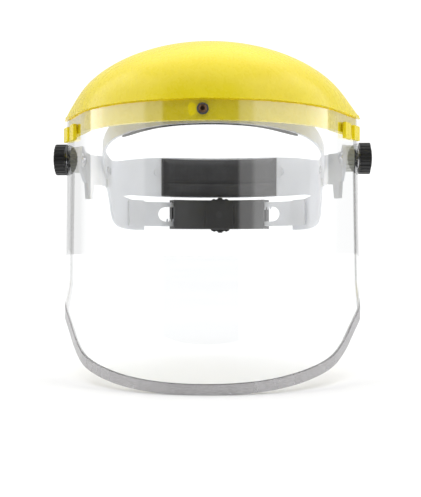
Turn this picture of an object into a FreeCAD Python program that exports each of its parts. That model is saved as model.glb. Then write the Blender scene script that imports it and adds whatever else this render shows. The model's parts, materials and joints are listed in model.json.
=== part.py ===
import FreeCAD, Part
import math
import os

import Sketcher
from FreeCAD import Placement, Rotation, Vector

# Face shield worn on a headgear.  Millimetres, +Z up, the face looks along -Y.
# The origin is midway between the two temple pivots, and the pivot axis is X.

os.makedirs("parts", exist_ok=True)
doc = FreeCAD.newDocument("FaceShield")
sheet = doc.addObject("Spreadsheet::Sheet", "Dims")

DIMS = {
    # visor: a flat sheet bent round the face
    "visor_length": 392.0, "visor_height": 200.0, "visor_thick": 1.0, "visor_top": 29.0,
    "top_half_width": 115.0, "foot_half_width": 118.0, "nose_to_pivot": 118.5,
    "nose_radius": 104.0, "flank_radius": 106.0, "corner_radius": 18.0, "flank_turn": 66.0,
    "corner_rise": 70.0, "binding_width": 6.5, "binding_skin": 0.6, "binding_top": 8.0,
    # brow guard
    "band_foot": 15.6, "lip_level": 30.0, "crown_wall": 2.5, "dome_rise": 55.0, "dome_half_width": 110.0,
    "band_rear_y": -4.0, "dome_foot_y": -8.0, "dome_apex_y": -35.0, "lip_overhang": 3.0,
    # pivot stack, measured outwards along X
    "arm_face": 107.0, "arm_thick": 2.5, "bolt_radius": 3.0, "running_gap": 0.06, "disc_radius": 10.5,
    "disc_thick": 6.3, "friction_thick": 1.2, "friction_radius": 7.6, "washer_radius": 7.6,
    "washer_thick": 1.0, "washer_face": 116.4, "knob_face": 117.7, "knob_radius": 12.5,
    "knob_thick": 8.5, "nut_flats": 10.0, "nut_thick": 5.0, "cap_radius": 9.5, "cap_rise": 1.6,
    "bolt_end": 122.4,
    # headgear ring: two half circles joined by straight sides
    "ring_radius": 92.0, "ring_wall": 2.0, "ring_front_y": 26.0, "ring_rear_y": 56.0, "pad_thick": 4.5,
    # nape straps and ratchet
    "ratchet_level": -39.6, "strap_height": 22.7, "strap_wall": 1.5, "left_strap_radius": 89.7,
    "right_strap_radius": 87.9, "tooth_module": 1.0, "pinion_teeth": 10, "slot_half": 6.9,
    "housing_half_angle": 30.0, "housing_height": 27.5, "knob_rim_radius": 17.0, "rear_knob_thick": 12.0,
    "turret_radius": 14.0, "turret_end": 155.4, "shaft_radius": 4.0,
}
for row, (alias, value) in enumerate(DIMS.items(), start=1):
    sheet.set("A%d" % row, alias)
    sheet.set("B%d" % row, str(value))
    sheet.setAlias("B%d" % row, alias)
doc.recompute()


def size(alias):
    return float(sheet.get(alias))


X_AXIS, Y_AXIS, Z_AXIS = Vector(1, 0, 0), Vector(0, 1, 0), Vector(0, 0, 1)
LEFT, RIGHT = -1, 1
SIDES = (("left", LEFT), ("right", RIGHT))
nodes = {}


# ---------------------------------------------------------------- document helpers

def make_body(label):
    body = doc.addObject("PartDesign::Body", label)
    body.Label = label
    nodes[label] = body
    return body


def make_feature(label, shape):
    """A sub-part made with Part's own functions."""
    item = doc.addObject("Part::Feature", label)
    item.Label = label
    item.Shape = shape
    nodes[label] = item
    return item


def make_sketch(body, name, role="XY_Plane", lift=None):
    """A sketch on one of the body's own origin planes, lifted by a sheet expression."""
    plane = next(item for item in body.Origin.OriginFeatures if item.Role == role)
    sketch = body.newObject("Sketcher::SketchObject", body.Label + "_" + name)
    sketch.AttachmentSupport = [(plane, "")]
    sketch.MapMode = "FlatFace"
    if lift:
        sketch.setExpression("AttachmentOffset.Base.z", lift)
    return sketch


def add_circle(sketch, radius, x=0.0, y=0.0):
    """A circle whose radius follows a sheet expression; x and y place its centre."""
    circle = sketch.addGeometry(Part.Circle(Vector(x, y, 0), Z_AXIS, 5.0), False)
    sketch.addConstraint(Sketcher.Constraint("DistanceX", -1, 1, circle, 3, x))
    sketch.addConstraint(Sketcher.Constraint("DistanceY", -1, 1, circle, 3, y))
    index = sketch.addConstraint(Sketcher.Constraint("Radius", circle, 5.0))
    sketch.setExpression("Constraints[%d]" % index, radius)


def add_loop(sketch, points):
    """A closed outline of straight lines."""
    for start, end in zip(points, points[1:] + points[:1]):
        sketch.addGeometry(Part.LineSegment(Vector(*start, 0), Vector(*end, 0)), False)


def pad(body, sketch, length):
    feature = body.newObject("PartDesign::Pad", sketch.Name + "_pad")
    feature.Profile = sketch
    feature.setExpression("Length", length)
    doc.recompute()
    return feature


def pocket(body, sketch, length=None, upward=True):
    """A cut that starts at the sketch and runs up the body's Z, checked to remove material."""
    before = body.Shape.Volume
    feature = body.newObject("PartDesign::Pocket", sketch.Name + "_cut")
    feature.Profile = sketch
    feature.Reversed = upward
    if length:
        feature.setExpression("Length", length)
    else:
        feature.Type = 1
    doc.recompute()
    if body.Shape.Volume > before - 0.01:
        raise RuntimeError(sketch.Name + " removes nothing")
    return feature


def repeat(body, feature, count):
    """Copies a feature round the body's Z axis."""
    axis = next(item for item in body.Origin.OriginFeatures if item.Role == "Z_Axis")
    pattern = body.newObject("PartDesign::PolarPattern", feature.Name + "_ring")
    pattern.Originals = [feature]
    pattern.Axis = (axis, [""])
    pattern.Angle = 360
    pattern.Occurrences = count
    body.Tip = pattern
    doc.recompute()
    return pattern


def revolve(label, outline):
    """A turned part: the outline is (radius, height) pairs on the body's XZ plane."""
    body = make_body(label)
    sketch = make_sketch(body, "profile", "XZ_Plane")
    add_loop(sketch, outline)
    axis = next(item for item in body.Origin.OriginFeatures if item.Role == "Z_Axis")
    feature = body.newObject("PartDesign::Revolution", label + "_turn")
    feature.Profile = sketch
    feature.ReferenceAxis = (axis, [""])
    feature.Angle = 360
    doc.recompute()
    return body


def stand(body, direction, x="0", y="0", z="0"):
    """Places a body with its own Z along a world direction."""
    body.Placement = Placement(Vector(), Rotation(Z_AXIS, direction))
    for letter, text in (("x", x), ("y", y), ("z", z)):
        body.setExpression("Placement.Base." + letter, text)
    doc.recompute()


def ring(label, outer, inner, length):
    """A flat washer shape: outer and inner radius and length are sheet expressions."""
    body = make_body(label)
    sketch = make_sketch(body, "face")
    add_circle(sketch, outer)
    add_circle(sketch, inner)
    pad(body, sketch, length)
    return body


# ---------------------------------------------------------------- shape helpers

def side_face(points):
    """A face in the YZ plane from (y, z) corners."""
    corners = [Vector(0, y, z) for y, z in points]
    return Part.Face(Part.makePolygon(corners + corners[:1]))


def through(face, half=150.0):
    """The solid that a YZ face sweeps from -X to +X."""
    solid = face.copy()
    solid.translate(Vector(-half, 0, 0))
    return solid.extrude(Vector(2 * half, 0, 0))


def smooth_edge(points):
    """A smooth curve in the YZ plane through (y, z) points."""
    curve = Part.BSplineCurve()
    curve.interpolate([Vector(0, y, z) for y, z in points])
    return curve.toShape()


def bounded_side(upper, lower):
    """A YZ face between two smooth curves, both listed from front to rear."""
    top, foot = smooth_edge(upper), smooth_edge(lower)
    ends = []
    for index in (0, -1):
        ends.append(Part.makeLine(Vector(0, *upper[index]), Vector(0, *lower[index])))
    return Part.Face(Part.Wire(Part.__sortEdges__([top, foot] + ends)))


def plan_marks(half_width):
    """Centres and ends of the plan's right half: nose arc, flank arc, straight flank, corner arc."""
    nose_r, flank_r, corner_r = size("nose_radius"), size("flank_radius"), size("corner_radius")
    first = Vector(1, -1, 0).normalize()
    flank_turn = math.radians(size("flank_turn"))
    second = Vector(math.sin(flank_turn), -math.cos(flank_turn), 0)
    along = Vector(-second.y, second.x, 0)
    nose_centre = Vector(0, nose_r - size("nose_to_pivot"), 0)
    flank_centre = nose_centre - first * (flank_r - nose_r)
    flank_end = flank_centre + second * flank_r
    run = (half_width - corner_r + corner_r * second.x - flank_end.x) / along.x
    corner_centre = flank_end + along * run - second * corner_r
    return nose_centre, flank_centre, corner_centre, first, second


def plan_edges(half_width, offset, z, rear_y):
    """The open plan path from the right rear round the front to the left rear."""
    nose_centre, flank_centre, corner_centre, first, second = plan_marks(half_width)
    nose_r = size("nose_radius") + offset
    flank_r = size("flank_radius") + offset
    corner_r = size("corner_radius") + offset
    between = (first + second).normalize()
    bend = (second + X_AXIS).normalize()
    half_path = [
        Vector(half_width + offset, rear_y, 0),
        corner_centre + X_AXIS * corner_r,
        corner_centre + bend * corner_r,
        corner_centre + second * corner_r,
        flank_centre + second * flank_r,
        flank_centre + between * flank_r,
        nose_centre + first * nose_r,
    ]
    edges = []
    for side in (RIGHT, LEFT):
        rear, corner, corner_mid, flank, flank_start, flank_mid, junction = [
            Vector(side * p.x, p.y, z) for p in half_path]
        edges.append([
            Part.makeLine(rear, corner),
            Part.Arc(corner, corner_mid, flank).toShape(),
            Part.makeLine(flank, flank_start),
            Part.Arc(flank_start, flank_mid, junction).toShape(),
        ])
    nose = Vector(0, nose_centre.y - nose_r, z)
    ends = [Vector(side * half_path[-1].x, half_path[-1].y, z) for side in (RIGHT, LEFT)]
    return edges[0] + [Part.Arc(ends[0], nose, ends[1]).toShape()] + edges[1][::-1]


def plan_wall(half_width, outer, inner, z, rear_y):
    """The closed plan outline between two offsets from the visor's middle surface."""
    outside = plan_edges(half_width, outer, z, rear_y)
    inside = plan_edges(half_width, inner, z, rear_y)
    ends = []
    for side in (LEFT, RIGHT):
        start = Vector(side * (half_width + outer), rear_y, z)
        ends.append(Part.makeLine(start, Vector(side * (half_width + inner), rear_y, z)))
    return Part.Wire(Part.__sortEdges__(outside + inside + ends))


def plan_block(half_width, outer, inner, low, high, rear_y):
    face = Part.Face(plan_wall(half_width, outer, inner, low, rear_y))
    return face.extrude(Vector(0, 0, high - low))


def stadium(radius, low, high):
    """A solid block with the headgear's plan, at a given end radius."""
    front, rear = size("ring_front_y"), size("ring_rear_y")
    points = [Vector(radius, front, low), Vector(0, front - radius, low), Vector(-radius, front, low)]
    back = [Vector(-radius, rear, low), Vector(0, rear + radius, low), Vector(radius, rear, low)]
    edges = [
        Part.Arc(*points).toShape(),
        Part.makeLine(points[2], back[0]),
        Part.Arc(*back).toShape(),
        Part.makeLine(back[2], points[0]),
    ]
    return Part.Face(Part.Wire(edges)).extrude(Vector(0, 0, high - low))


def ring_wall(outer, inner, low=-80.0, high=80.0):
    return stadium(outer, low, high).cut(stadium(inner, low, high))


def rear_sector(outer, inner, low, high, start, end):
    """A curved wall about the rear centre; angles in degrees, 0 at the rear, + towards +X."""
    centre = Vector(0, size("ring_rear_y"), low)
    wall = Part.makeCylinder(outer, high - low, centre, Z_AXIS, end - start)
    wall = wall.cut(Part.makeCylinder(inner, high - low, centre, Z_AXIS, 360))
    wall.rotate(centre, Z_AXIS, 90 - end)
    return wall


def peg(centre, direction, radius, length):
    """A plain round pin with its base at centre."""
    return Part.makeCylinder(radius, length, centre, direction)


# ---------------------------------------------------------------- visor and binding

visor_foot = size("visor_top") - size("visor_height")
nose_y = -size("nose_to_pivot")
# the sheet's flat length, less the path from side to side that ends level with the pivots
half_path_length = sum(edge.Length for edge in plan_edges(size("top_half_width"), 0, 0, 0)) / 2
rear_edge = size("visor_length") / 2 - half_path_length


def sheet_loft(outer, inner, foot):
    """The bent sheet: a ruled body between its top plan and its slightly wider foot plan."""
    top = plan_wall(size("top_half_width"), outer, inner, size("visor_top"), rear_edge)
    low = plan_wall(size("foot_half_width"), outer, inner, foot, rear_edge)
    return Part.makeLoft([low, top], True, True)


def visor_outline(inset):
    """The sheet's side outline: straight rear edge, rear corner swept down to the chin."""
    rise = size("corner_rise")
    reach = rear_edge - nose_y
    # fractions of the depth behind the rear edge, and of the corner's rise above the foot
    sweep = ((0.0, 1.0), (0.04, 0.88), (0.14, 0.68), (0.28, 0.50), (0.38, 0.37), (0.56, 0.215),
             (0.78, 0.10), (0.93, 0.027), (1.0, 0.0))
    curve = Part.BSplineCurve()
    curve.interpolate([Vector(0, rear_edge - reach * back, visor_foot + rise * up) for back, up in sweep])
    points = []
    steps = 14
    for step in range(steps + 1):
        at = curve.FirstParameter + (curve.LastParameter - curve.FirstParameter) * step / steps
        along = curve.tangent(at)[0]
        inward = Vector(0, along.z, -along.y)
        points.append(curve.value(at) + inward * inset)
    points[0].y = rear_edge - inset
    points[-1].z = visor_foot + inset
    smooth = Part.BSplineCurve()
    smooth.interpolate(points)
    over = size("visor_top") + 5.0
    ahead = nose_y - 20.0
    corners = [points[-1], Vector(0, ahead, points[-1].z), Vector(0, ahead, over),
               Vector(0, points[0].y, over), points[0]]
    return Part.Face(Part.Wire([smooth.toShape()] + Part.makePolygon(corners).Edges))


def hook_places():
    """Where the brow guard's hooks hold the visor: point, outward normal and the head's drop."""
    level = 0.5 * (size("band_foot") + size("visor_top")) - 4.0
    flank_centre, normal = [plan_marks(size("top_half_width"))[index] for index in (1, 4)]
    flank_end = flank_centre + normal * size("flank_radius")
    places = []
    for ahead, drop in ((-41.0, 7.4), (-22.0, 6.4)):
        across = flank_end.x - (ahead - flank_end.y) * normal.y / normal.x
        for side in (LEFT, RIGHT):
            places.append((Vector(side * across, ahead, level), Vector(side * normal.x, normal.y, 0), drop))
    return places


def block_at(place, normal, depth, width, low, high):
    """A box on the plan: depth is (from, to) along the normal, width runs along the sheet."""
    box = Part.makeBox(depth[1] - depth[0], width, high - low, Vector(depth[0], -width / 2, low))
    angle = math.degrees(math.atan2(normal.y, normal.x))
    box.rotate(Vector(), Z_AXIS, angle)
    box.translate(place)
    return box


HOOK_HEAD_WIDTH = 13.0
HOOK_NECK_WIDTH = 7.0
HOOK_NECK_HALF = 2.2
HOOK_CLEAR = 0.3
stud_level = size("band_foot") + 7.2
stud_bore = 2.2
key_slot_x = -7.6

half = size("visor_thick") / 2
trim = visor_outline(0.0)
visor_shape = sheet_loft(half, -half, visor_foot).common(through(trim))
for side in (LEFT, RIGHT):
    bore = peg(Vector(side * 105, 0, 0), Vector(side, 0, 0), size("bolt_radius") + size("running_gap"), 20)
    visor_shape = visor_shape.cut(bore)
for place, normal, drop in hook_places():
    slot = block_at(place, normal, (-4, 4), HOOK_NECK_WIDTH + 2 * HOOK_CLEAR,
                    -HOOK_NECK_HALF - HOOK_CLEAR, HOOK_NECK_HALF + HOOK_CLEAR)
    visor_shape = visor_shape.cut(slot)
visor_shape = visor_shape.cut(peg(Vector(0, nose_y - 15, stud_level), Y_AXIS, stud_bore + 0.1, 30))
key_slot = Part.makeCylinder(2.6, 30, Vector(0, 0, 1.8), Y_AXIS)
key_slot = key_slot.fuse(Part.makeCylinder(2.6, 30, Vector(0, 0, -1.8), Y_AXIS))
key_slot = key_slot.fuse(Part.makeBox(5.2, 30, 3.6, Vector(-2.6, 0, -1.8)))
key_slot.translate(Vector(key_slot_x, nose_y - 15, stud_level))
visor_shape = visor_shape.cut(key_slot)
make_feature("visor", visor_shape.Solids[0])

skin = half + size("binding_skin")
edge = size("binding_skin")
strip = sheet_loft(skin, -skin, visor_foot - edge)
outside = visor_outline(-edge)
inside = visor_outline(size("binding_width"))
frame = through(outside).cut(through(inside))
below = Part.makeBox(400, 400, 300, Vector(-200, -200, size("binding_top") - 300))
binding = strip.common(frame).common(below)
binding = binding.cut(sheet_loft(half, -half, visor_foot).common(through(trim)))
make_feature("visor_binding", binding.Solids[0])


# ---------------------------------------------------------------- brow guard

def dome_surface(overhang, drop):
    """The dome's face from the lip up to its open rear arch, drawn by a net of rising rows."""
    around, up = 25, 9
    foot_y, apex_y = size("dome_foot_y"), size("dome_apex_y")
    base = size("lip_level")
    lip = Part.Wire(plan_edges(size("top_half_width"), overhang, base, foot_y)).discretize(Number=around)
    grid = []
    for index, start in enumerate(lip):
        turn = math.pi * index / (around - 1)
        across = (size("dome_half_width") - drop) * math.cos(turn)
        back = foot_y + (apex_y - foot_y) * math.sin(turn)
        rise = base + 4.5 - drop * 0.6 + (size("dome_rise") - 4.5 - drop * 0.4) * abs(math.sin(turn)) ** 1.3
        row = []
        for step in range(up):
            lean = 1 - math.cos(math.pi / 2 * step / (up - 1))
            climb = math.sin(math.pi / 2 * step / (up - 1))
            row.append(Vector(start.x + (across - start.x) * lean, start.y + (back - start.y) * lean,
                              base + (rise - base) * climb))
        grid.append(row)
    ends = [[4] + [1] * (count - 4) + [4] for count in (around, up)]
    knots = [list(range(count - 2)) for count in (around, up)]
    surface = Part.BSplineSurface()
    surface.buildFromPolesMultsKnots(grid, ends[0], ends[1], knots[0], knots[1], False, False, 3, 3)
    return surface


def closed_shell(outer, inner):
    """A solid between two faces with matching boundaries."""
    u0, u1, v0, v1 = outer.bounds()
    faces = [outer.toShape(), inner.toShape()]
    borders = (("uIso", u0), ("uIso", u1), ("vIso", v0), ("vIso", v1))
    for name, at in borders:
        near = getattr(outer, name)(at).toShape()
        far = getattr(inner, name)(at).toShape()
        faces.append(Part.makeRuledSurface(near, far))
    shell = Part.Shell(Part.makeShell(faces).Faces)
    shell.sewShape()
    solid = Part.Solid(Part.Shell(shell.Faces))
    if solid.Volume < 0:
        solid.reverse()
    return solid


wall = size("crown_wall")
lip = size("lip_level")
overhang = size("lip_overhang")
band_outer = -half - 0.2
band_inner = band_outer - wall
crown_top = lip + 2.4
dome = closed_shell(dome_surface(overhang, 0.0), dome_surface(overhang - wall, wall))
top_half = size("top_half_width")
seam = lip + 0.4
band = plan_block(top_half, band_outer, band_inner, size("band_foot"), seam, size("band_rear_y"))
ledge = plan_block(top_half, overhang - 1.0, band_inner, seam, crown_top, size("dome_foot_y"))
for place, normal, drop in hook_places():
    neck = block_at(place, normal, (band_inner + 0.5, 2.6), HOOK_NECK_WIDTH, -HOOK_NECK_HALF, HOOK_NECK_HALF)
    head = block_at(place, normal, (0.9, 3.9), HOOK_HEAD_WIDTH, -drop, 4.6)
    upright = [item for item in head.Edges if abs(item.tangentAt(item.FirstParameter).z) > 0.9]
    band = band.fuse([neck, head.makeFillet(0.9, upright)])
stiffener = plan_block(top_half, band_inner + 0.2, band_inner - 2.0, size("band_foot"),
                       size("band_foot") + 2.0, size("dome_foot_y"))
band = band.fuse(stiffener).cut(peg(Vector(0, nose_y - 20, stud_level), Y_AXIS, stud_bore, 40))
make_feature("brow_band", band.removeSplitter().Solids[0])
make_feature("brow_guard", dome.fuse(ledge).removeSplitter().Solids[0])


def on_nose(body, back):
    """Stands a turned part on the centre line, its Z axis forward, back mm behind the visor."""
    stand(body, Vector(0, -1, 0), "0", str(nose_y + back), str(stud_level))


eyelet = ring("front_eyelet", "4.1", "2.3", "1.1")
on_nose(eyelet, -0.9)
stud = revolve("front_stud", [(0, -5.8), (stud_bore - 0.1, -5.8), (stud_bore - 0.1, 2.1), (3.0, 2.1),
                              (2.8, 3.0), (1.6, 3.7), (0, 3.9)])
on_nose(stud, 0.0)
front_nut = ring("front_nut", "4.2", "2.15", "2.4")
on_nose(front_nut, -band_inner + 2.5)


# ---------------------------------------------------------------- headgear mouldings

outer_r = size("ring_radius")
inner_r = outer_r - size("ring_wall")
joint_y = 36.0
band_upper = [(-68, 46), (-38, 33.5), (-5, 18.5), (joint_y, 7)]
band_lower = [(-68, 21), (-33, 15.5), (4, 5), (joint_y, -13)]
hoop = ring_wall(outer_r, inner_r)
make_feature("front_headband", hoop.common(through(bounded_side(band_upper, band_lower))).Solids[0])

rear_end = 152.0
cradle_upper = [(joint_y, 7), (60, 5), (105, 10.5), (rear_end, 14.5)]
cradle_lower = [(joint_y, -20), (50, -29), (66, -46), (88, -53.5), (rear_end, -54)]
cradle = hoop.common(through(bounded_side(cradle_upper, cradle_lower)))
slot_tip = 92.0
strap_gap = [(slot_tip - 5, -24.6), (slot_tip + 8, -23), (rear_end, -23), (rear_end, -27.2),
             (slot_tip + 8, -27)]
cradle = cradle.cut(through(side_face(strap_gap)))
cradle = cradle.cut(through(side_face([(114, -25), (rear_end, -25), (rear_end, -60), (114, -60)])))

pad_stud_x, pad_stud_z = 59.4, 0.0
# one rivet goes through the headband's end and one through the cradle's
RIVET_PLACES = (33.0, 46.0)
rivet_z, rivet_shank = -5.5, 1.5
pad_stud_angle = math.degrees(math.asin(pad_stud_x / outer_r))


def rear_direction(angle):
    """Outward direction of the rear half circle, angle from +Y towards +X."""
    return Vector(math.sin(math.radians(angle)), math.cos(math.radians(angle)), 0)


def rear_point(radius, angle, z):
    return Vector(0, size("ring_rear_y"), z) + rear_direction(angle) * radius


for side in (LEFT, RIGHT):
    angle = side * pad_stud_angle
    cradle = cradle.cut(peg(rear_point(inner_r - 5, angle, pad_stud_z), rear_direction(angle), 1.6, 12))
    for y in RIVET_PLACES:
        bore = peg(Vector(side * (inner_r - 4), y, rivet_z), Vector(side, 0, 0), rivet_shank, 12)
        cradle = cradle.cut(bore)
        nodes["front_headband"].Shape = nodes["front_headband"].Shape.cut(bore)
make_feature("rear_cradle", cradle.Solids[0])

pad_r = inner_r - size("pad_thick")
front_pad_side = bounded_side([(y, z + 0.8) for y, z in band_upper], [(y, z - 1.6) for y, z in band_lower])
sweat_front, sweat_rear = -68.0, -32.0
sweat_slab = Part.makeBox(400, sweat_rear - sweat_front, 200, Vector(-200, sweat_front, -80))
sweat = ring_wall(inner_r, pad_r).common(through(front_pad_side)).common(sweat_slab)
make_feature("sweatband", sweat.Solids[0])

pad_low, pad_high, pad_half_angle = -22.4, 13.2, 37.2
make_feature("rear_pad", rear_sector(inner_r, pad_r, pad_low, pad_high, -pad_half_angle, pad_half_angle))
studs = []
for side in (LEFT, RIGHT):
    angle = side * pad_stud_angle
    way = rear_direction(angle)
    shank = peg(rear_point(inner_r, angle, pad_stud_z), way, 1.6, 2.0)
    shank = shank.fuse([peg(rear_point(inner_r - 0.9, angle, pad_stud_z), way, 3.6, 1.0),
                        peg(rear_point(outer_r - 0.1, angle, pad_stud_z), way, 2.8, 1.0)])
    shank = shank.cut(stadium(outer_r, -80, 80).cut(stadium(inner_r, -80, 80)).cut(
        peg(rear_point(inner_r - 5, angle, pad_stud_z), way, 1.6, 12)))
    studs.append(shank.Solids[0])
make_feature("rear_pad_studs", Part.makeCompound(studs))


# ---------------------------------------------------------------- side arms and pivots

def arm_shape(side):
    """A strip that leaves the ring, bends out to the pivot plate and carries a hook tab."""
    thick = size("arm_thick")
    low = outer_r
    high = size("arm_face") - thick
    path = [(low, 53), (low, 29), (low + 2.2, 24.5), (high - 3.2, 16.5), (high, 12), (high, -12)]
    outline = [Vector(x, y, -40) for x, y in path]
    outline += [Vector(x + thick, y + (1.2 if 13 < y < 26 else 0), -40) for x, y in reversed(path)]
    strip = Part.Face(Part.makePolygon(outline + outline[:1])).extrude(Vector(0, 0, 80))
    plate = [(-1, -11), (16, -19), (54, -19), (54, 4.5), (16, 6), (-1, 11)]
    side_shape = through(side_face(plate)).fuse(peg(Vector(-150, 0, 0), X_AXIS, 11, 300))
    tab = through(side_face([(13, -15), (20, -15), (18.5, -31), (14.5, -31)]))
    strip = strip.common(side_shape.fuse(tab))
    if side == LEFT:
        strip = strip.mirror(Vector(), X_AXIS)
    return strip


for name, side in SIDES:
    out = Vector(side, 0, 0)
    arm = arm_shape(side)
    neck = Part.makeBox(8, 6, 6, Vector(side * 105 - 4, -3, -3))
    arm = arm.cut(neck)
    group = []
    for y in RIVET_PLACES:
        arm = arm.cut(peg(Vector(side * (outer_r - 1), y, rivet_z), out, rivet_shank, 6))
        shank_length = size("ring_wall") + size("arm_thick")
        shank = peg(Vector(side * inner_r, y, rivet_z), out, rivet_shank, shank_length)
        head = peg(Vector(side * (inner_r - 0.8), y, rivet_z), out, 3.0, 0.8)
        tail = Part.makeCone(3.0, 2.0, 1.2, Vector(side * (outer_r + size("arm_thick")), y, rivet_z), out)
        group.append(shank.fuse([head, tail]).removeSplitter().Solids[0])
    make_feature(name + "_arm", arm.Solids[0])
    make_feature(name + "_arm_rivets", Part.makeCompound(group))

    # carriage bolt: domed head inside the arm, square neck in it, plain shank outwards
    bolt_face = size("arm_face") - size("arm_thick")
    length = size("bolt_end") - bolt_face
    bolt = revolve(name + "_pivot_bolt", [(0, -3.0), (2.5, -2.7), (5.2, -1.2), (6.2, 0), (3.0, 0),
                                          (3.0, length - 0.6), (2.4, length), (0, length)])
    square = make_sketch(bolt, "neck")
    add_loop(square, [(-3, -3), (3, -3), (3, 3), (-3, 3)])
    pad(bolt, square, "Dims.arm_thick")
    stand(bolt, out, x="%d * (Dims.arm_face - Dims.arm_thick)" % side)

    disc = ring(name + "_spacer_disc", "Dims.disc_radius", "Dims.bolt_radius + Dims.running_gap",
                "Dims.disc_thick")
    notch = make_sketch(disc, "rib")
    add_circle(notch, "1", size("disc_radius") + 0.15, 0)
    repeat(disc, pocket(disc, notch), 18)
    friction_r, friction_t = size("friction_radius"), size("friction_thick")
    waist = revolve(name + "_friction_washer", [
        (3.1, 0), (friction_r, 0), (friction_r, friction_t - 0.2), (friction_r - 0.6, friction_t),
        (3.1, friction_t)])
    stand(disc, out, x="%d * Dims.arm_face" % side)
    stand(waist, out, x="%d * (Dims.arm_face + Dims.disc_thick)" % side)

    washer = ring(name + "_outer_washer", "Dims.washer_radius", "Dims.bolt_radius + Dims.running_gap",
                  "Dims.washer_thick")
    stand(washer, out, x="%d * Dims.washer_face" % side)

    knob = make_body(name + "_tension_knob")
    rim = make_sketch(knob, "rim")
    add_circle(rim, "Dims.knob_radius")
    pad(knob, rim, "Dims.knob_thick")
    bore = make_sketch(knob, "bore")
    add_circle(bore, "Dims.bolt_radius + Dims.running_gap")
    pocket(knob, bore)
    hexagon = make_sketch(knob, "nut_seat", lift="0.6")
    point_r = size("nut_flats") / 2 / math.cos(math.pi / 6)
    corners = [(point_r * math.cos(math.radians(60 * turn)),
                point_r * math.sin(math.radians(60 * turn))) for turn in range(6)]
    add_loop(hexagon, corners)
    pocket(knob, hexagon)
    groove = make_sketch(knob, "groove")
    add_circle(groove, "0.95", size("knob_radius") + 0.35, 0)
    repeat(knob, pocket(knob, groove), 24)
    stand(knob, out, x="%d * Dims.knob_face" % side)

    nut = make_body(name + "_knob_nut")
    outline = make_sketch(nut, "hexagon")
    add_loop(outline, corners)
    add_circle(outline, "Dims.bolt_radius + Dims.running_gap")
    pad(nut, outline, "Dims.nut_thick")
    stand(nut, out, x="%d * (Dims.knob_face + 0.6)" % side)

    cap_r, rise = size("cap_radius"), size("cap_rise")
    cap = revolve(name + "_knob_cap", [(0, 0), (cap_r, 0), (cap_r, 0.5), (cap_r * 0.8, rise * 0.7),
                                       (cap_r * 0.45, rise), (0, rise * 1.05)])
    stand(cap, out, x="%d * (Dims.knob_face + Dims.knob_thick)" % side)


# ---------------------------------------------------------------- nape straps and ratchet

level = size("ratchet_level")
rear_y = size("ring_rear_y")
module = size("tooth_module")
pitch_radius = module * size("pinion_teeth") / 2
STRAP_END = 40.0
STRAP_ROOT_ANGLE = 65.0
SLOT_OUTER = 57.0
SLOT_INNER = 33.0


def rack_tooth(turn, tip, root):
    """One straight-sided tooth from the slot's edge towards the pinion, turn degrees from the rear."""
    wide, narrow = 0.95 * module, 0.35 * module
    centre = Vector(0, rear_y, 0)
    corners = [centre + Vector(-wide, 0, root), centre + Vector(-narrow, 0, tip),
               centre + Vector(narrow, 0, tip), centre + Vector(wide, 0, root)]
    tooth = Part.Face(Part.makePolygon(corners + corners[:1])).extrude(Vector(0, 100, 0))
    tooth.rotate(centre, Z_AXIS, -turn)
    return tooth


def nape_strap(side, outer):
    """A curved strap whose slot has teeth on one edge: the lower on the left, the upper on the right."""
    inner = outer - size("strap_wall")
    half_height = size("strap_height") / 2
    tail = math.degrees(math.asin(STRAP_END / outer))
    angles = (-STRAP_ROOT_ANGLE, tail) if side == LEFT else (-tail, STRAP_ROOT_ANGLE)
    strap = rear_sector(outer, inner, level - half_height, level + half_height, *angles)
    slot_half = size("slot_half")
    start, end = side * SLOT_OUTER, -side * SLOT_INNER
    low_x, high_x = min(start, end), max(start, end)
    box = Part.makeBox(high_x - low_x - 2 * slot_half, 200, 2 * slot_half,
                       Vector(low_x + slot_half, 0, level - slot_half))
    cutter = box
    for x in (low_x + slot_half, high_x - slot_half):
        cutter = cutter.fuse(peg(Vector(x, 0, level), Y_AXIS, slot_half, 200))
    tooth_edge = level + side * slot_half
    pitch_z = level + side * pitch_radius
    tip = pitch_z - side * 0.8 * module
    middle_r = outer - size("strap_wall") / 2
    for index in range(-20, 20):
        # a gap faces the pinion's tooth at the rear, so teeth stand at odd half pitches
        turn = (index + 0.5) * math.pi * module / middle_r
        if low_x + slot_half < middle_r * math.sin(turn) < high_x - slot_half:
            cutter = cutter.cut(rack_tooth(math.degrees(turn), tip, tooth_edge + side * 0.5))
    return strap.cut(cutter)


for name, side in SIDES:
    radius = size(name + "_strap_radius")
    make_feature(name + "_nape_strap", nape_strap(side, radius).Solids[0])

half_angle = size("housing_half_angle")
half_high = size("housing_height") / 2
channel_inner = size("right_strap_radius") - size("strap_wall") - 0.3
plate = rear_sector(channel_inner, channel_inner - 2.2, level - half_high, level + half_high,
                    -half_angle, half_angle)
journal = 3.0
plate = plate.cut(peg(Vector(0, rear_y, level), Y_AXIS, journal + size("running_gap"), 100))
for x in (-14.0, 12.0):
    rib = rear_sector(channel_inner - 2.2, channel_inner - 2.9, level - half_high, level + half_high,
                      math.degrees(x / channel_inner), math.degrees((x + 2.4) / channel_inner))
    plate = plate.fuse(rib)
make_feature("ratchet_plate", plate.removeSplitter().Solids[0])

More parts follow.
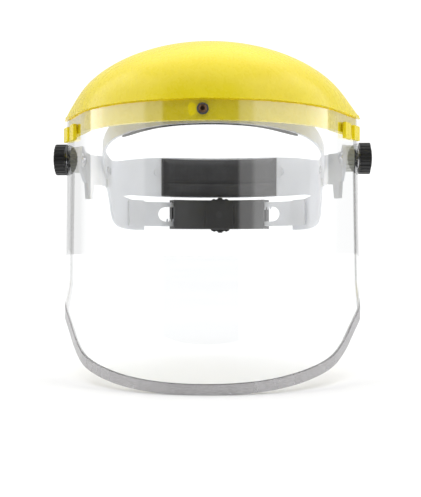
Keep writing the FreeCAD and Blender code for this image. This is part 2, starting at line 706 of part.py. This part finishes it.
cover_r = 95.0
channel_outer = size("left_strap_radius") + 0.35
channel_half = size("strap_height") / 2 + 0.45
turret_end = size("turret_end")
cover = rear_sector(cover_r, channel_inner, level - half_high, level + half_high, -half_angle, half_angle)
turret = peg(Vector(0, rear_y + channel_outer + 1, level), Y_AXIS, size("turret_radius"),
             turret_end - rear_y - channel_outer - 1)
cover = cover.fuse(turret.common(Part.makeBox(60, 60, 2 * half_high, Vector(-30, 136, level - half_high))))
cover = cover.cut(rear_sector(channel_outer, channel_inner - 1, level - channel_half, level + channel_half,
                              -half_angle - 5, half_angle + 5))
cavity_y = 148.2
cavity_r = 11.0
cover = cover.cut(peg(Vector(0, cavity_y, level), Y_AXIS, cavity_r, 20))
cover = cover.cut(peg(Vector(0, 136, level), Y_AXIS, size("shaft_radius") + size("running_gap"), 20))
make_feature("ratchet_cover", cover.removeSplitter().Solids[0])

gear_y = rear_y + channel_inner + 0.15
gear_long = channel_outer - channel_inner - 0.6
shaft_end = 158.4
pinion = make_body("ratchet_pinion")
blank = make_sketch(pinion, "blank")
add_circle(blank, "3.6")
pad(pinion, blank, "%f" % gear_long)
tooth = make_sketch(pinion, "tooth")
add_loop(tooth, [(3.2, -0.75), (pitch_radius, -0.55), (5.75, -0.3), (5.75, 0.3), (pitch_radius, 0.55),
                 (3.2, 0.75)])
tooth_pad = pad(pinion, tooth, "%f" % gear_long)
repeat(pinion, tooth_pad, int(size("pinion_teeth")))
nose = make_sketch(pinion, "journal", lift="-2.1")
add_circle(nose, "%f" % journal)
pad(pinion, nose, "2.1")
axle = make_sketch(pinion, "axle", lift="%f" % gear_long)
add_circle(axle, "Dims.shaft_radius")
pad(pinion, axle, "%f" % (shaft_end - gear_y - gear_long))
screw_bore = make_sketch(pinion, "screw_bore", lift="%f" % (shaft_end - gear_y - 6.0))
add_circle(screw_bore, "1.4")
pocket(pinion, screw_bore)
stand(pinion, Y_AXIS, y="%f" % gear_y, z="Dims.ratchet_level")
# half a tooth, so that a tooth points straight up and another straight down
TOOTH_PHASE = 18.0
pinion.Placement = pinion.Placement.multiply(Placement(Vector(), Rotation(Z_AXIS, TOOTH_PHASE)))

wheel = make_body("detent_wheel")
disc = make_sketch(wheel, "disc")
add_circle(disc, "6.2")
add_circle(disc, "Dims.shaft_radius")
pad(wheel, disc, "3")
bump = make_sketch(wheel, "bump")
add_loop(bump, [(5.8, -1.1), (7.0, 0.2), (7.0, 0.7), (5.8, 1.1)])
repeat(wheel, pad(wheel, bump, "3"), 16)
stand(wheel, Y_AXIS, y="%f" % (cavity_y + 0.3), z="Dims.ratchet_level")

spring = make_body("detent_spring")
hoop_sketch = make_sketch(spring, "hoop")
add_circle(hoop_sketch, "%f" % cavity_r)
add_circle(hoop_sketch, "9.8")
pad(spring, hoop_sketch, "2.6")
finger = make_sketch(spring, "finger")
add_loop(finger, [(9.9, -2.4), (7.3, -0.4), (7.3, 0.4), (9.9, 1.0)])
repeat(spring, pad(spring, finger, "2.6"), 3)
stand(spring, Y_AXIS, y="%f" % (cavity_y + 0.4), z="Dims.ratchet_level")

rear_knob = make_body("ratchet_knob")
face = make_sketch(rear_knob, "face")
add_circle(face, "Dims.knob_rim_radius")
pad(rear_knob, face, "Dims.rear_knob_thick")
lobe = make_sketch(rear_knob, "lobe")
add_circle(lobe, "2.3", size("knob_rim_radius") + 1.1, 0)
repeat(rear_knob, pocket(rear_knob, lobe), 14)
socket = make_sketch(rear_knob, "socket")
add_circle(socket, "Dims.shaft_radius")
knob_start = size("turret_end") + 0.4
socket_depth = shaft_end - knob_start
pocket(rear_knob, socket, "%f" % socket_depth)
dish = make_sketch(rear_knob, "dish", lift="Dims.rear_knob_thick - 3")
add_circle(dish, "10")
pocket(rear_knob, dish)
through_hole = make_sketch(rear_knob, "screw_hole")
add_circle(through_hole, "1.5")
pocket(rear_knob, through_hole)
stand(rear_knob, Y_AXIS, y="%f" % knob_start, z="Dims.ratchet_level")

screw_seat = knob_start + size("rear_knob_thick") - 3.0
screw_long = screw_seat - shaft_end + 5.5
screw = revolve("knob_screw", [(0, -screw_long), (1.4, -screw_long), (1.4, 0), (3.2, 0), (3.0, 1.2),
                               (1.8, 1.9), (0, 2.0)])
cross = make_sketch(screw, "drive", lift="1.2")
add_loop(cross, [(-1.6, -0.3), (1.6, -0.3), (1.6, 0.3), (-1.6, 0.3)])
pocket(screw, cross)
stand(screw, Y_AXIS, y="%f" % screw_seat, z="Dims.ratchet_level")


# ---------------------------------------------------------------- checks and export

doc.recompute()
for item in doc.Objects:
    bad = [word for word in item.State if word in ("Invalid", "Error")]
    if bad:
        raise RuntimeError(item.Label + ": " + ", ".join(bad))
for label, item in nodes.items():
    shape = item.Shape
    if shape.isNull() or not shape.isValid() or not shape.Solids:
        raise RuntimeError(label + " has no valid solid")
for label, item in nodes.items():
    item.Shape.exportStep("parts/" + label + ".step")
    box = item.Shape.BoundBox
    print("%-22s %8.1f mm3  x %7.1f %7.1f  y %7.1f %7.1f  z %7.1f %7.1f" % (
        label, item.Shape.Volume, box.XMin, box.XMax, box.YMin, box.YMax, box.ZMin, box.ZMax))
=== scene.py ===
"""A head-worn face shield: looks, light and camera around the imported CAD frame."""

import json
import math

import bmesh
import bpy
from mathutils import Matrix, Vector, noise


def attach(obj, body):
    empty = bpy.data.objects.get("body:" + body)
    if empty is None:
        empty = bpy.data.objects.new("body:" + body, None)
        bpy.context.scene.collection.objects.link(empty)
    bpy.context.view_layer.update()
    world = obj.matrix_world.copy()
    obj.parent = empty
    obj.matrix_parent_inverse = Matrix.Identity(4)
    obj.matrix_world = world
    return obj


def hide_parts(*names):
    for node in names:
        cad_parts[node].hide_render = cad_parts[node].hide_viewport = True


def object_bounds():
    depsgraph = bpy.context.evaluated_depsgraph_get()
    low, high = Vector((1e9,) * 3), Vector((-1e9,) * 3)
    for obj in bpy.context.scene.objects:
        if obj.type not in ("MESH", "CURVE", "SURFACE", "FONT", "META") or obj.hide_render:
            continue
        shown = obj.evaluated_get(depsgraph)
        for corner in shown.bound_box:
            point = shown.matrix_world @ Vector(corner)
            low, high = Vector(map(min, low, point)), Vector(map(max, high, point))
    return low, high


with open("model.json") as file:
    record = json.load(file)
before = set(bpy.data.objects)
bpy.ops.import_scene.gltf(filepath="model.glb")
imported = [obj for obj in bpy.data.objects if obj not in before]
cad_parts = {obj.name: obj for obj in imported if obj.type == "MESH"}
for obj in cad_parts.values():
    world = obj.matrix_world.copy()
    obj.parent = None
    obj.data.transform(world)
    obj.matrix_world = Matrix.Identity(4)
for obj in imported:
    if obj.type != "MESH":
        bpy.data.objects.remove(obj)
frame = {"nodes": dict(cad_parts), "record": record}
cad_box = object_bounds()
nodes = frame["nodes"]
scene = bpy.context.scene
scene.view_settings.view_transform = "Standard"


# ---------------------------------------------------------------- node helpers

class Tree:
    """A short way to write a material's or the world's nodes."""

    def __init__(self, owner):
        owner.use_nodes = True
        self.tree = owner.node_tree
        self.tree.nodes.clear()

    def add(self, kind, settings=None, **values):
        node = self.tree.nodes.new(kind)
        for key, value in (settings or {}).items():
            setattr(node, key, value)
        for key, value in values.items():
            self.feed(node.inputs[key.replace("_", " ")], value)
        return node

    def feed(self, socket, value):
        if isinstance(value, bpy.types.NodeSocket):
            self.tree.links.new(value, socket)
        elif isinstance(value, (tuple, list)) and len(value) == 3 and socket.type == "RGBA":
            socket.default_value = (*value, 1.0)
        else:
            socket.default_value = value

    def math(self, operation, a, b, clamp=False):
        node = self.add("ShaderNodeMath", {"operation": operation, "use_clamp": clamp})
        self.feed(node.inputs[0], a)
        self.feed(node.inputs[1], b)
        return node.outputs[0]

    def range(self, value, low, high, to_low, to_high):
        """Carries low..high over to to_low..to_high, eased at both ends."""
        node = self.add("ShaderNodeMapRange", {"interpolation_type": "SMOOTHSTEP"})
        for index, item in enumerate((value, low, high, to_low, to_high)):
            self.feed(node.inputs[index], item)
        return node.outputs[0]

    def mix(self, factor, a, b):
        node = self.add("ShaderNodeMix", {"data_type": "RGBA"})
        self.feed(node.inputs[0], factor)
        self.feed(node.inputs[6], a)
        self.feed(node.inputs[7], b)
        return node.outputs[2]

    def place(self, scale=(1, 1, 1)):
        """Object coordinates, in metres in the frame, stretched by scale."""
        where = self.add("ShaderNodeTexCoord").outputs["Object"]
        return self.add("ShaderNodeMapping", Vector=where, Scale=scale).outputs[0]

    def noise(self, scale, detail, stretch=(1, 1, 1), roughness=0.5):
        """Scale is about the number of patches in a metre."""
        return self.add("ShaderNodeTexNoise", Vector=self.place(stretch), Scale=scale,
                        Detail=detail, Roughness=roughness).outputs[0]

    def bump(self, height, distance, strength):
        node = self.add("ShaderNodeBump", Height=height, Strength=strength, Distance=distance)
        return node.outputs[0]

    def blend(self, factor, first, second):
        """Mixes two shaders: none of the second at factor 0, all of it at 1."""
        node = self.add("ShaderNodeMixShader", Fac=factor)
        self.feed(node.inputs[1], first)
        self.feed(node.inputs[2], second)
        return node.outputs[0]

    def finish(self, shader, kind="ShaderNodeOutputMaterial"):
        self.feed(self.add(kind).inputs[0], shader)


def lin(*levels):
    """A linear colour from 0-255 screen levels of red, green and blue."""
    return tuple(((v / 255 + 0.055) / 1.055) ** 2.4 if v > 10 else v / 255 / 12.92 for v in levels)


materials = {}

# where most of a noise's values lie, for colours and for gloss
COLOUR_SPAN = (0.3, 0.7)
GLOSS_SPAN = (0.3, 0.75)


def material(name):
    made = bpy.data.materials.new(name)
    materials[name] = made
    return Tree(made)


def moulded(name, dark, light, rough, rough_end, grain=1400, depth=0.00003, coat=0.0, glow=None):
    """Moulded plastic: slow colour drift, fine grain and uneven gloss. With a glow colour, some light
    also passes through the wall."""
    drift_scale, gloss_scale, glow_share = 28, 190, 0.3
    t = material(name)
    drift = t.range(t.noise(drift_scale, 4), *COLOUR_SPAN, 0.0, 1.0)
    gloss = t.range(t.noise(gloss_scale, 5, roughness=0.65), *GLOSS_SPAN, rough, rough_end)
    shader = t.add("ShaderNodeBsdfPrincipled", Coat_Weight=coat, Roughness=gloss)
    t.feed(shader.inputs["Base Color"], t.mix(drift, dark, light))
    t.feed(shader.inputs["Normal"], t.bump(t.noise(grain, 2), depth, 0.5))
    result = shader.outputs[0]
    if glow:
        passed = t.add("ShaderNodeBsdfTranslucent", Color=glow)
        result = t.blend(glow_share, result, passed.outputs[0])
    t.finish(result)


# ---------------------------------------------------------------- materials

def clear_sheet():
    """A polished clear sheet. What is behind shows straight through; the face turned to the eye mirrors
    the light for both faces, so the way out of the sheet mirrors nothing."""
    ripple_scale, ripple_depth = 9, 0.0001
    haze_scale, polished, hazed = 60, 0.012, 0.05
    index, two_faces = 1.62, 1.9
    t = material("clear_visor")
    ripple = t.bump(t.noise(ripple_scale, 2), ripple_depth, 0.25)
    share = t.add("ShaderNodeFresnel", IOR=index, Normal=ripple).outputs[0]
    entering = t.math("SUBTRACT", 1.0, t.add("ShaderNodeNewGeometry").outputs["Backfacing"])
    mirror_share = t.math("MULTIPLY", t.math("MULTIPLY", share, two_faces), entering, clamp=True)
    haze = t.range(t.noise(haze_scale, 5), 0.35, 0.8, polished, hazed)
    through = t.add("ShaderNodeBsdfTransparent", Color=(0.985, 0.99, 0.99))
    mirror = t.add("ShaderNodeBsdfGlossy", Color=(1, 1, 1), Roughness=haze, Normal=ripple)
    t.finish(t.blend(mirror_share, through.outputs[0], mirror.outputs[0]))


def metal(name, dark, light, rough, rough_end, stretch=(1, 1, 1), scratch=900, depth=0.00002,
          share=1.0):
    """Bare metal with drawn scratches and finger-smudged gloss."""
    smudge_scale = 70
    t = material(name)
    lines = t.noise(scratch, 4, stretch, 0.6)
    smudge = t.range(t.noise(smudge_scale, 4), *GLOSS_SPAN, rough, rough_end)
    shader = t.add("ShaderNodeBsdfPrincipled", Metallic=share, Roughness=smudge)
    t.feed(shader.inputs["Base Color"], t.mix(t.range(lines, *COLOUR_SPAN, 0.0, 1.0), dark, light))
    t.feed(shader.inputs["Normal"], t.bump(lines, depth, 0.6))
    t.finish(shader.outputs[0])


def woven(name, dark, light):
    """Dense black cloth: a fine weave, fuzz and slightly greyed high spots."""
    fuzz_scale, thread_scale, wear_scale = 1500, 250, 45
    weave_depth = 0.0002
    t = material(name)
    across, along = (
        t.add("ShaderNodeTexWave", {"wave_type": "BANDS", "bands_direction": axis},
              Vector=t.place(), Scale=thread_scale, Distortion=1.5, Detail=2.0).outputs["Fac"]
        for axis in "ZX"
    )
    weave = t.math("MAXIMUM", across, along)
    fuzz = t.noise(fuzz_scale, 3)
    worn = t.math("MULTIPLY", weave, t.range(t.noise(wear_scale, 4), *GLOSS_SPAN, 0.25, 1.0))
    height = t.math("ADD", weave, t.math("MULTIPLY", fuzz, 0.5))
    shader = t.add("ShaderNodeBsdfPrincipled", Roughness=t.range(fuzz, *COLOUR_SPAN, 0.75, 0.95),
                   Sheen_Weight=0.35, Sheen_Roughness=0.5)
    t.feed(shader.inputs["Base Color"], t.mix(worn, dark, light))
    t.feed(shader.inputs["Normal"], t.bump(height, weave_depth, 0.5))
    t.finish(shader.outputs[0])


clear_sheet()
moulded("brow_guard", lin(246, 224, 16), lin(250, 230, 24), 0.24, 0.34,
        grain=420, depth=0.000004, coat=0.12)
metal("edge_binding", lin(160, 158, 159), lin(180, 179, 180), 0.2, 0.32,
      stretch=(0.12, 0.12, 1), scratch=2200, depth=0.000008, share=0.75)
metal("bright_metal", lin(168, 168, 170), lin(206, 206, 208), 0.2, 0.36)
metal("dark_metal", lin(70, 52, 40), lin(104, 80, 60), 0.28, 0.45)
metal("nut_brass", lin(190, 150, 80), lin(220, 184, 110), 0.22, 0.4)
moulded("frosted_plastic", lin(206, 208, 213), lin(218, 220, 225), 0.34, 0.5,
        glow=(0.9, 0.91, 0.94))
moulded("spacer_plastic", lin(176, 177, 168), lin(202, 203, 194), 0.38, 0.55,
        glow=(0.7, 0.7, 0.64))
moulded("black_plastic", lin(32, 32, 34), lin(44, 44, 46), 0.34, 0.5, depth=0.00006)
moulded("dark_nylon", lin(40, 40, 43), lin(56, 56, 58), 0.4, 0.55)
moulded("knob_plastic", lin(14, 14, 15), lin(24, 24, 25), 0.28, 0.46, depth=0.00005)
moulded("washer_rubber", lin(30, 30, 30), lin(44, 44, 44), 0.62, 0.8, depth=0.00008)
for pad_slot in ("sweatband", "rear_pad"):
    woven(pad_slot, lin(22, 22, 24), lin(58, 58, 62))

slots = {row["node"]: row["material_slot"] for row in frame["record"]["subparts"]}
for name, item in nodes.items():
    item.data.materials.clear()
    item.data.materials.append(materials[slots[name]])


# ---------------------------------------------------------------- padded pieces

# the headgear ring: two half circles of this inner radius, about these centres on the middle plane
RING_INNER = 0.090
FRONT_Y = 0.026
REAR_Y = 0.056
FOAM_THICK = 0.0045

# how far the threads stop short of a pad's ends, in radians
THREAD_MARGIN = 0.02


def mesh_piece(name, points, faces, slot_name):
    """A smooth closed mesh in one material slot."""
    mesh = bpy.data.meshes.new(name)
    mesh.from_pydata(points, [], faces)
    work = bmesh.new()
    work.from_mesh(mesh)
    bmesh.ops.remove_doubles(work, verts=work.verts, dist=1e-6)
    bmesh.ops.recalc_face_normals(work, faces=work.faces)
    work.to_mesh(mesh)
    work.free()
    for polygon in mesh.polygons:
        polygon.use_smooth = True
    item = bpy.data.objects.new(name, mesh)
    scene.collection.objects.link(item)
    mesh.materials.append(materials[slot_name])
    return item


def smooth_step(t):
    t = max(0.0, min(1.0, t))
    return t * t * (3 - 2 * t)


def ring_spot(angle, radius, z, facing):
    """A point on the ring's front half (facing -1) or rear half (facing 1), at an angle from the
    middle plane."""
    centre_y = FRONT_Y if facing < 0 else REAR_Y
    return (radius * math.sin(angle), centre_y + facing * radius * math.cos(angle), z)


def cushion(name, facing, half_angle, low, high, seams, slot_name, seed):
    """A stuffed strip against the ring's inside. Its edges are bound down flat, and each seam is a
    valley that draws the cover in. low and high give its edges' heights at an angle, and each seam is
    a share of the way up between them."""
    across, up = 150, 44
    bound_width, seam_width, seam_draw = 0.0065, 0.0016, 0.62
    plumpness, bound_share = 0.55, 0.16
    cover_gap, back_gap = 0.0004, 0.0003
    wave_scale, swell_scale, pucker_scale = 60, 0.45, (1.7, 0.5)
    fill, swell_share, pucker_share = 0.9, 0.07, 0.05
    rows = []
    for i in range(across + 1):
        part = i / across
        angle = half_angle * (2 * part - 1)
        bottom, top = low(angle), high(angle)
        end = min(part, 1 - part) * 2 * half_angle * RING_INNER
        row = []
        for j in range(up + 1):
            z = bottom + (top - bottom) * j / up
            edge = min(z - bottom, top - z, end)
            crown = smooth_step(edge / bound_width) ** plumpness
            for seam in seams:
                gap = abs((z - bottom) / (top - bottom) - seam) * (top - bottom)
                crown *= 1 - seam_draw * math.exp(-((gap / seam_width) ** 2))
            x, y = angle * RING_INNER * wave_scale, z * wave_scale
            ruffle = Vector((x * pucker_scale[0], y * pucker_scale[1], seed))
            pucker = noise.fractal(ruffle, 1.0, 2.0, 3)
            swell = noise.noise(Vector((x, y, seed)) * swell_scale)
            crown *= fill + swell_share * swell + pucker_share * pucker
            rise = FOAM_THICK * (bound_share + (1 - bound_share) * crown)
            radius = RING_INNER - cover_gap - min(rise, FOAM_THICK)
            row.append(ring_spot(angle, radius, z, facing))
        rows.append(row)
    points, faces, back = [], [], []
    count = up + 1
    for i, row in enumerate(rows):
        points += row
        angle = half_angle * (2 * i / across - 1)
        back += [ring_spot(angle, RING_INNER - back_gap, p[2], facing) for p in row]
    start = len(points)
    points += back
    for i in range(across):
        for j in range(up):
            a, b = i * count + j, (i + 1) * count + j
            faces.append((a, b, b + 1, a + 1))
            faces.append((start + a, start + a + 1, start + b + 1, start + b))
    rim = [i * count for i in range(across + 1)]
    rim += [across * count + j for j in range(1, up + 1)]
    rim += [i * count + up for i in range(across - 1, -1, -1)]
    rim += [j for j in range(up - 1, 0, -1)]
    for index, a in enumerate(rim):
        b = rim[(index + 1) % len(rim)]
        faces.append((a, b, start + b, start + a))
    piece = mesh_piece(name, points, faces, slot_name)
    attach(piece, "headgear")
    return piece


def stitches(name, facing, half_angle, heights, slot_name):
    """Short thread loops lying along sewn lines. Each line's height is a function of the angle."""
    pitch, length, thread_radius = 0.0032, 0.0022, 0.00022
    depth, arch_rise = 0.0014, 0.00035
    steps, sides = 4, 6
    points, faces = [], []
    total = int(2 * half_angle * RING_INNER / pitch)
    for height in heights:
        for k in range(total):
            middle = -half_angle + 2 * half_angle * (k + 0.5) / total
            base = len(points)
            for step in range(steps + 1):
                angle = middle + (step / steps - 0.5) * length / RING_INNER
                arch = math.sin(math.pi * step / steps)
                radius = RING_INNER - depth - arch_rise * arch
                centre = Vector(ring_spot(angle, radius, height(angle), facing))
                inward = Vector((-math.sin(angle), -facing * math.cos(angle), 0))
                for side in range(sides):
                    turn = math.tau * side / sides
                    around = inward * math.cos(turn) + Vector((0, 0, 1)) * math.sin(turn)
                    points.append(tuple(centre + around * thread_radius))
            for step in range(steps):
                for side in range(sides):
                    a = base + step * sides + side
                    b = base + step * sides + (side + 1) % sides
                    faces.append((a, b, b + sides, a + sides))
            faces.append(tuple(base + side for side in range(sides - 1, -1, -1)))
            faces.append(tuple(base + steps * sides + side for side in range(sides)))
    thread = mesh_piece(name, points, faces, slot_name)
    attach(thread, "headgear")


def band_edge(points, offset):
    """Gives the height of a headband edge at an angle round the front, from points of (y, z) on its
    outline, front to back."""
    def height(angle):
        y = FRONT_Y - RING_INNER * math.cos(angle)
        for (y0, z0), (y1, z1) in zip(points, points[1:]):
            if y <= y1:
                break
        return z0 + (z1 - z0) * smooth_step((y - y0) / (y1 - y0)) + offset
    return height


def rear_pad():
    low, high = -0.0224, 0.0132
    half_angle = math.radians(37.2)
    hem, seam = 0.0017, 0.36
    pad = cushion("rear_pad_cover", 1, half_angle, lambda a: low, lambda a: high, (seam,),
                  "rear_pad", 3.0)
    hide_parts("rear_pad")
    lines = [lambda a: low + hem, lambda a: high - hem]
    stitches("rear_pad_thread", 1, half_angle - THREAD_MARGIN, lines, "rear_pad")


def sweatband():
    rear_face_y = -0.032
    hem, end_gap = 0.0018, 0.012
    half_angle = math.acos((FRONT_Y - rear_face_y) / RING_INNER) - end_gap
    low = band_edge(((-0.068, 0.021), (-0.033, 0.0155)), -0.0012)
    high = band_edge(((-0.068, 0.046), (-0.038, 0.0335), (-0.005, 0.0185)), 0.0)
    band = cushion("sweatband_cover", -1, half_angle, low, high, (), "sweatband", 9.0)
    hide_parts("sweatband")
    lines = [lambda a: low(a) + hem, lambda a: high(a) - hem]
    stitches("sweatband_thread", -1, half_angle - THREAD_MARGIN, lines, "sweatband")


rear_pad()
sweatband()


# ---------------------------------------------------------------- floor, light and camera

def floor():
    """A matt white floor under the shield. It ends a short way in front, so that nothing bright lies
    under the camera."""
    tone_scale, gloss_scale = 3, 40
    t = material("studio_floor")
    tone = t.range(t.noise(tone_scale, 4), *COLOUR_SPAN, 0.0, 1.0)
    gloss = t.range(t.noise(gloss_scale, 3), *COLOUR_SPAN, 0.5, 0.6)
    shader = t.add("ShaderNodeBsdfPrincipled", Roughness=gloss, Specular_IOR_Level=0.1)
    t.feed(shader.inputs["Base Color"], t.mix(tone, lin(228, 228, 229), lin(232, 232, 232)))
    t.finish(shader.outputs[0])
    half, front = 12.0, -0.45
    base = cad_box[0][2]
    corners = [(-half, front, base), (half, front, base), (half, half, base), (-half, half, base)]
    mesh = bpy.data.meshes.new("floor")
    mesh.from_pydata(corners, [], [(0, 1, 2, 3)])
    item = bpy.data.objects.new("floor", mesh)
    scene.collection.objects.link(item)
    mesh.materials.append(materials["studio_floor"])


def studio_world():
    """A white room with tall soft boxes at both sides, one overhead, and a dark gap in front. Matt
    surfaces see an even light that grows towards the top; shiny ones see the boxes."""
    box_strength, overhead, backdrop_strength = 0.85, 0.7, 1.2
    front_shine, back_shine = 0.12, 0.68
    front_light, back_light, top_light = 0.1, 0.62, 1.65
    # each soft box: the angles it lies between and the softness of its edges, in degrees
    boxes = ((38, 118, 3), (26, 118, 2), (-118, -53, 3), (-118, -37, 2))
    world = bpy.data.worlds.new("studio")
    scene.world = world
    t = Tree(world)
    ray = t.add("ShaderNodeTexCoord").outputs["Generated"]
    sideways, back, height = t.add("ShaderNodeSeparateXYZ", Vector=ray).outputs
    turn = t.math("ARCTAN2", sideways, t.math("MULTIPLY", back, -1.0))

    def soft_box(low, high, soft):
        """Share of a box's light that reaches a ray, by its turn from the front towards +X."""
        rise = t.range(turn, math.radians(low - soft), math.radians(low + soft), 0.0, 1.0)
        fall = t.range(turn, math.radians(high - soft), math.radians(high + soft), 1.0, 0.0)
        tall = t.range(height, 0.72, 0.86, 1.0, 0.0)
        return t.math("MULTIPLY", t.math("MULTIPLY", rise, fall), tall)

    shiny = t.range(back, -0.1, 0.5, front_shine, back_shine)
    for box in boxes:
        shiny = t.math("ADD", shiny, t.math("MULTIPLY", soft_box(*box), box_strength))
    shiny = t.math("ADD", shiny, t.range(height, 0.6, 0.95, 0.0, overhead))
    matt = t.math("ADD", t.range(back, -0.8, 0.3, front_light, back_light),
                  t.range(height, 0.3, 0.92, 0.0, top_light))
    paths = t.add("ShaderNodeLightPath").outputs
    for_matt = paths["Is Diffuse Ray"]
    strength = t.math("ADD", t.math("MULTIPLY", matt, for_matt),
                      t.math("MULTIPLY", shiny, t.math("SUBTRACT", 1.0, for_matt)))
    light = t.add("ShaderNodeBackground", Color=(1.0, 1.0, 1.0), Strength=strength)
    backdrop = t.add("ShaderNodeBackground", Color=(1.0, 1.0, 1.0), Strength=backdrop_strength)
    seen = t.blend(paths["Is Camera Ray"], light.outputs[0], backdrop.outputs[0])
    t.finish(seen, "ShaderNodeOutputWorld")


def photo_camera():
    """Looks level at the shield from just right of its front."""
    turn = math.radians(3.0)
    reach, centre_y, level = 0.728, -0.02, -0.072
    camera = bpy.data.objects.new("camera", bpy.data.cameras.new("camera"))
    scene.collection.objects.link(camera)
    camera.data.lens = 67.2
    camera.data.sensor_width = 36.0
    camera.data.clip_start = 0.01
    camera.location = (reach * math.sin(turn), centre_y - reach * math.cos(turn), level)
    camera.rotation_euler = (math.pi / 2, 0, turn)
    scene.camera = camera


floor()
studio_world()
photo_camera()
